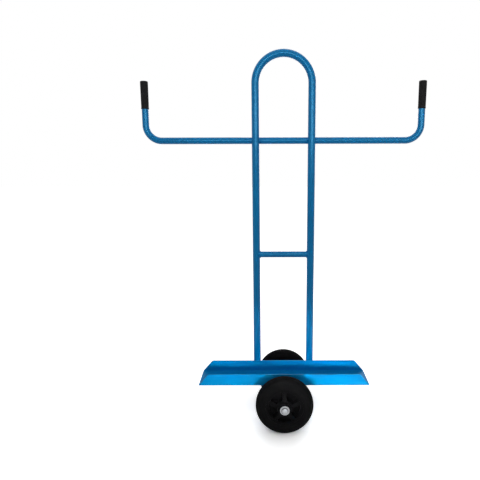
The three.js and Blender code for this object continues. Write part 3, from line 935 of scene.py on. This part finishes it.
FOOT_BORE = 7.3
FOOT_END_R = 10.6
FOOT_R = 11.0
FOOT_GROOVE_R = 10.0
FOOT_HALF = 18.0
FOOT_PITCH = 6
FOOT_BANDS = 2
foot_profile = [(FOOT_BORE, -FOOT_HALF, 0.4), (FOOT_END_R, -FOOT_HALF, 1.4)]
for k in range(-FOOT_BANDS, FOOT_BANDS + 1):
    band = k * FOOT_PITCH
    foot_profile += [(FOOT_R, band - 1.9, 0.5), (FOOT_R, band + 1.9, 0.5)]
    if k < FOOT_BANDS:
        foot_profile += [(FOOT_GROOVE_R, band + 2.5, 0.3), (FOOT_GROOVE_R, band + 3.5, 0.3)]
foot_profile += [(FOOT_END_R, FOOT_HALF, 1.4), (FOOT_BORE, FOOT_HALF, 0.4)]
foot_section = filleted(foot_profile, 3)
for side in ("left", "right"):
    low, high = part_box(f"{side}_stand_foot")
    place = ((low.x + high.x) / 2, foot_y, foot_z)
    foot = lathe(foot_section, TUBE_SIDES, place, X_AXIS, Z_AXIS)
    piece_of(f"{side}_rubber_foot", *foot, foot_rubber, "stand", "grip_rubber", [f"{side}_stand_foot"])

# Plates and lugs keep their solids, with their cut edges rounded
for name in ("front_axle_plate", "rear_axle_plate", "left_stand_lug", "right_stand_lug"):
    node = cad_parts[name]
    flat = node.modifiers.new("flat", "DECIMATE")
    flat.decimate_type = "DISSOLVE"
    flat.angle_limit = math.radians(1)
    soften(node, PLATE_EDGE, 2)

# Weld beads, painted over
LAP_BEAD = 2.5 * MM
LAP_R = 8.5 * MM
LAP_STEPS = 64
RING_BEAD = 2.2 * MM
RING_STEPS = 72
SEAM_BEAD = 1.9 * MM
COPE_OUT = 0.6 * MM
COPE_GROWN = 0.9 * MM
LEG_SEAM_OFF = 7 * MM
AXLE_RING_R = 15.6 * MM
AXLE_RING_OUT = 0.5 * MM
PLATE_SEAM_INSET = 3 * MM
LUG_SEAM_INSET = 2 * MM
LUG_SEAM_OUT = 0.3 * MM
UNDER_TRAY = 0.4 * MM


def lap_ring(x):
    """The bead round the place where the handle bar lies against a leg."""
    path = []
    for k in range(LAP_STEPS):
        angle = TAU * k / LAP_STEPS
        dx, dz = LAP_R * math.cos(angle), LAP_R * math.sin(angle)
        leg_skin = leg_y + math.sqrt(HOOP_R**2 - dx**2)
        bar_skin = bar_y - math.sqrt(BAR_R**2 - dz**2)
        path.append(Vector((x + dx, (leg_skin + bar_skin) / 2, bar_z + dz)))
    return bead(path, LAP_BEAD, True)


handle_beads = [lap_ring(-leg_x), lap_ring(leg_x)]
piece_of("handle_welds", *joined(handle_beads), paint, "frame", "blue_paint")

cope_ring = [cope(TAU * k / RING_STEPS, CROSS_R + COPE_OUT, COPE_GROWN) for k in range(RING_STEPS)]
cross_rings = (cope_ring, [mirrored_x(p) for p in cope_ring])
cross_beads = [bead(ring, RING_BEAD, True) for ring in cross_rings]
piece_of("cross_rail_welds", *joined(cross_beads), paint, "frame", "blue_paint")

leg_beads = []
leg_seams = (
    (tray_low.z + 10 * MM, tray_high.z - 2 * MM),
    (hoop_low.z + 2 * MM, tray_low.z - 3 * MM),
)
for x in (-leg_x, leg_x):
    for off in (-LEG_SEAM_OFF, LEG_SEAM_OFF):
        gap = leg_y - math.sqrt(HOOP_R**2 - off**2) - tray_high.y
        y = tray_high.y + gap / 2
        for start, stop in leg_seams:
            leg_beads.append(bead(((x + off, y, start), (x + off, y, stop)), SEAM_BEAD))
piece_of("leg_welds", *joined(leg_beads), paint, "frame", "blue_paint")

plate_beads = []
for name, face in (("front_axle_plate", -1), ("rear_axle_plate", 1)):
    low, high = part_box(name)
    outer_y = high.y if face > 0 else low.y
    inner_y = low.y if face > 0 else high.y
    run = high.x - PLATE_SEAM_INSET
    plate_seams = (
        (outer_y - face * 1.4 * MM, tray_low.z + 1.6 * MM, RING_BEAD),
        (inner_y - face * 0.4 * MM, tray_low.z - UNDER_TRAY, SEAM_BEAD),
    )
    for y, z, size in plate_seams:
        plate_beads.append(bead(((-run, y, z), (run, y, z)), size))
    turns = [TAU * k / RING_STEPS for k in range(RING_STEPS)]
    for y in (outer_y + face * AXLE_RING_OUT, inner_y - face * AXLE_RING_OUT):
        ring = [(AXLE_RING_R * math.cos(t), y, axle_z + AXLE_RING_R * math.sin(t)) for t in turns]
        plate_beads.append(bead(ring, RING_BEAD, True))
piece_of("axle_plate_welds", *joined(plate_beads), paint, "frame", "blue_paint")

lug_beads = []
for side, sign in (("left", -1), ("right", 1)):
    low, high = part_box(f"{side}_stand_lug")
    x = high.x if sign > 0 else low.x
    z = tray_low.z - UNDER_TRAY
    outside = x + sign * LUG_SEAM_OUT
    behind = high.y + LUG_SEAM_OUT
    side_seam = ((outside, low.y + LUG_SEAM_INSET, z), (outside, high.y - LUG_SEAM_INSET, z))
    back_seam = ((low.x + LUG_SEAM_INSET, behind, z), (high.x - LUG_SEAM_INSET, behind, z))
    lug_beads += [bead(side_seam, SEAM_BEAD), bead(back_seam, SEAM_BEAD)]
piece_of("lug_welds", *joined(lug_beads), paint, "frame", "blue_paint")

# Finishes of the solids that stay
KEPT_LOOKS = {
    "axle_plate": paint,
    "stand_lug": paint,
    "axle": steel,
    "hub_sleeve": steel,
    "roller_cage": cage_plastic,
    "roller": steel,
}
for name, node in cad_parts.items():
    if node.hide_render:
        continue
    look = next(look for part, look in KEPT_LOOKS.items() if part in name)
    node.data.materials.clear()
    node.data.materials.append(look)

# Camera
camera_data = bpy.data.cameras.new("photo_camera")
camera_data.lens = LENS_MM
camera_data.sensor_width = SENSOR_MM
camera_data.shift_x = CAMERA_SHIFT
camera = bpy.data.objects.new("photo_camera", camera_data)
camera.location = CAMERA_PLACE
camera.rotation_euler = (math.pi / 2 - CAMERA_PITCH, CAMERA_ROLL, 0)
bpy.context.scene.collection.objects.link(camera)
bpy.context.scene.camera = camera
bpy.context.scene.view_settings.view_transform = "Standard"

# Soft studio light: three lamps before the handles, two low ones with grids that cross before the tray,
# one overhead and one behind, and a strip for the streaks along the tubes; each has its place, what it is
# turned to, size, spread, power and whether it lights surfaces, shows in them or both
LAMPS = (
    ("left", (-1.3, -1.85, 1.6), (-0.4, 0, 1.3), (1.4, 0.25), 70, 0.74, "light"),
    ("right", (1.3, -1.85, 1.6), (0.4, 0, 1.3), (1.4, 0.25), 70, 0.74, "light"),
    ("front", (0, -1.5, 2.7), (0, 0, 1.4), (0.9, 0.9), 180, 5.5, "light"),
    ("low_left", (0.165, -0.72, 0.34), (-0.27, -0.075, 0.2), (0.08, 0.08), 56, 0.5, "light"),
    ("low_right", (-0.165, -0.72, 0.34), (0.27, -0.075, 0.2), (0.08, 0.08), 56, 0.85, "light"),
    ("top", (0, -0.3, 3.4), (0, 0, 0.4), (2.4, 2.4), 180, 8.0, "both"),
    ("back", (0.6, 2.8, 2.0), (0, 0, 0.9), (2.0, 2.0), 180, 32.0, "both"),
    ("strip", (0.45, -1.95, 1.64), (0.45, 0, 1.4), (2.7, 0.6), 180, 33.0, "streak"),
)
for name, place, target, size, spread, power, use in LAMPS:
    lamp_data = bpy.data.lights.new(name, "AREA")
    lamp_data.shape = "RECTANGLE"
    lamp_data.size, lamp_data.size_y = size
    lamp_data.spread = math.radians(spread)
    lamp_data.energy = power
    lamp = bpy.data.objects.new(name, lamp_data)
    lamp.location = place
    lamp.visible_camera = False
    lamp.visible_diffuse = use != "streak"
    lamp.visible_glossy = use != "light"
    lamp.rotation_euler = (Vector(target) - Vector(place)).to_track_quat("-Z", "Y").to_euler()
    bpy.context.scene.collection.objects.link(lamp)


def seen_directly(tree):
    """1 for rays from the camera, from a mirror-like surface or through glass, 0 for the rest."""
    path = tree.nodes.new("ShaderNodeLightPath").outputs
    glossy = maths(tree, "MAXIMUM", path["Is Glossy Ray"], path["Is Transmission Ray"])
    return maths(tree, "MAXIMUM", path["Is Camera Ray"], glossy)


AMBIENT = 0.16
WHITE = (1.0, 1.0, 1.0, 1.0)
world = bpy.data.worlds.new("studio")
bpy.context.scene.world = world
world.use_nodes = True
sky = world.node_tree
strength = ranged(sky, seen_directly(sky), 0.0, 1.0, AMBIENT, 1.0)
sky.nodes["Background"].inputs["Color"].default_value = WHITE
sky.links.new(strength, sky.nodes["Background"].inputs["Strength"])

# Floor, white where nothing shades it; near the cart ambient occlusion dims its glow, a painted shadow
FLOOR_HALF = 30.0
FLOOR_GREY = (0.86, 0.86, 0.86, 1.0)
FLOOR_NEAR = 0.88
FLOOR_FADE = (0.5, 2.2)
FLOOR_SHADE_REACH = 0.15
FLOOR_SHADE_DEPTH = 1.5
floor_material, tree, shader, place = material_of("floor")
tree.nodes.remove(shader)
matt = tree.nodes.new("ShaderNodeBsdfDiffuse")
matt.inputs["Color"].default_value = FLOOR_GREY
white = tree.nodes.new("ShaderNodeEmission")
distance = tree.nodes.new("ShaderNodeVectorMath")
distance.operation = "LENGTH"
tree.links.new(place, distance.inputs[0])
glow = ranged(tree, distance.outputs["Value"], *FLOOR_FADE, FLOOR_NEAR, 1.0)
# Painted shadow: the white glow is dimmed by ambient occlusion round the wheels and feet
shade = tree.nodes.new("ShaderNodeAmbientOcclusion")
shade.inputs["Distance"].default_value = FLOOR_SHADE_REACH
glow = maths(tree, "MULTIPLY", glow, maths(tree, "POWER", shade.outputs["AO"], FLOOR_SHADE_DEPTH))
tree.links.new(maths(tree, "MULTIPLY", glow, seen_directly(tree)), white.inputs["Strength"])
both = tree.nodes.new("ShaderNodeAddShader")
tree.links.new(matt.outputs["BSDF"], both.inputs[0])
tree.links.new(white.outputs["Emission"], both.inputs[1])
tree.links.new(both.outputs["Shader"], tree.nodes["Material Output"].inputs["Surface"])
floor_mesh = bpy.data.meshes.new("floor")
floor_corners = ((-1, -1), (1, -1), (1, 1), (-1, 1))
floor_mesh.from_pydata([(x * FLOOR_HALF, y * FLOOR_HALF, 0) for x, y in floor_corners], [], [(0, 1, 2, 3)])
floor_mesh.materials.append(floor_material)
floor = bpy.data.objects.new("floor", floor_mesh)
bpy.context.scene.collection.objects.link(floor)
floor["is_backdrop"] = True

low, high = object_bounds()
